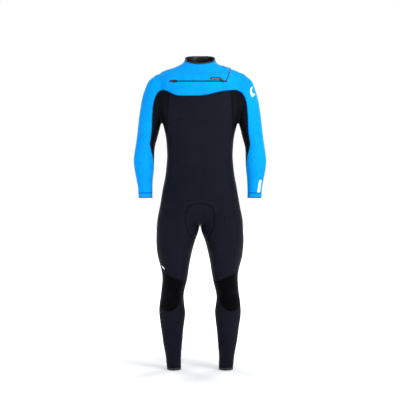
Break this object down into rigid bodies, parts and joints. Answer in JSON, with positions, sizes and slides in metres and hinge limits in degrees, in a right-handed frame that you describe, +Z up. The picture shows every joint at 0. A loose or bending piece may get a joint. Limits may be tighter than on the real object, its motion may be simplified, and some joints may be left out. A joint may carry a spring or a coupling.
{
  "type": "full wetsuit",
  "caption": "Full-length chest-zip wetsuit in its worn shape, sewn from stretch neoprene panels, with bending elbows and knees and a running zip slider with a swinging pull tab.",
  "frame": {"origin": "midway between the ankles, on the plane of the ankle hems, at the middle of the suit's depth", "axes": "+Z up along the body, +X towards the wearer's left, the chest faces -Y"},
  "size_m": [0.652, 0.2534, 1.5655],
  "materials": {
    "blue_jersey": "bright blue knitted nylon jersey on neoprene, matt",
    "heather_jersey": "charcoal heather knitted jersey on neoprene, matt",
    "black_jersey": "black knitted jersey on neoprene, matt",
    "knee_rubber": "abrasion-resistant black knee panel, fine dotted rubber",
    "smooth_skin": "smooth-skin neoprene, satin",
    "zip_plastic": "moulded black acetal, satin",
    "zip_tape": "woven polyester zip tape",
    "white_print": "flexible screen-printed white ink"
  },
  "bodies": {
    "suit": {"collar_binding": "smooth_skin", "zip_wind_flap": "smooth_skin", "inner_neck_seal": "smooth_skin", "collar": "blue_jersey", "elbow_sleeve_left": "blue_jersey", "elbow_sleeve_right": "blue_jersey", "upper_sleeve_left": "blue_jersey", "upper_sleeve_right": "blue_jersey", "entry_flap": "blue_jersey", "yoke_front": "blue_jersey", "yoke_back": "blue_jersey", "crotch_gusset": "heather_jersey", "thigh_front_left": "heather_jersey", "thigh_front_right": "heather_jersey", "thigh_back_left": "heather_jersey", "thigh_back_right": "heather_jersey", "chest_panel": "heather_jersey", "knee_back_left": "black_jersey", "knee_back_right": "black_jersey", "elbow_underarm_left": "black_jersey", "elbow_underarm_right": "black_jersey", "underarm_left": "black_jersey", "underarm_right": "black_jersey", "back_panel": "black_jersey", "knee_panel_left": "knee_rubber", "knee_panel_right": "knee_rubber", "zip_tape_upper": "zip_tape", "zip_tape_lower": "zip_tape", "zip_teeth_upper": "zip_plastic", "zip_teeth_lower": "zip_plastic", "zip_stop": "zip_plastic", "zip_guard": "zip_plastic", "print_upper_arm": "white_print", "print_thigh": "white_print"},
    "forearm_left": {"forearm_sleeve_left": "blue_jersey", "cuff_left": "blue_jersey", "print_forearm": "white_print"},
    "forearm_right": {"forearm_sleeve_right": "blue_jersey", "cuff_right": "blue_jersey"},
    "lower_leg_left": {"shin_panel_left": "heather_jersey", "calf_panel_left": "heather_jersey", "ankle_hem_left": "smooth_skin"},
    "lower_leg_right": {"shin_panel_right": "heather_jersey", "calf_panel_right": "heather_jersey", "ankle_hem_right": "smooth_skin"},
    "slider": {"zip_slider": "zip_plastic"},
    "tab": {"pull_tab": "zip_plastic"}
  },
  "joints": [
    {"name": "elbow_left", "type": "hinge", "parent": "suit", "child": "forearm_left", "pos_m": [0.276, 0.01, 1.07886], "axis": [-1, 0, 0], "range_deg": [0, 115], "deforming": ["elbow_sleeve_left", "elbow_underarm_left"]},
    {"name": "elbow_right", "type": "hinge", "parent": "suit", "child": "forearm_right", "pos_m": [-0.276, 0.01, 1.07886], "axis": [-1, 0, 0], "range_deg": [0, 115], "deforming": ["elbow_sleeve_right", "elbow_underarm_right"]},
    {"name": "knee_left", "type": "hinge", "parent": "suit", "child": "lower_leg_left", "pos_m": [0.131, 0, 0.39493], "axis": [1, 0, 0], "range_deg": [0, 100], "deforming": ["knee_panel_left", "knee_back_left"]},
    {"name": "knee_right", "type": "hinge", "parent": "suit", "child": "lower_leg_right", "pos_m": [-0.131, 0, 0.39493], "axis": [1, 0, 0], "range_deg": [0, 100], "deforming": ["knee_panel_right", "knee_back_right"]},
    {"name": "zip_run", "type": "hinge", "parent": "suit", "child": "slider", "pos_m": [0, 0.26284, 1.43602], "axis": [0, 0, -1], "range_deg": [0, 31]},
    {"name": "pull_tab_swing", "type": "hinge", "parent": "slider", "child": "tab", "pos_m": [0.11402, -0.11006, 1.43602], "axis": [0, 0, 1], "range_deg": [0, 150]}
  ]
}
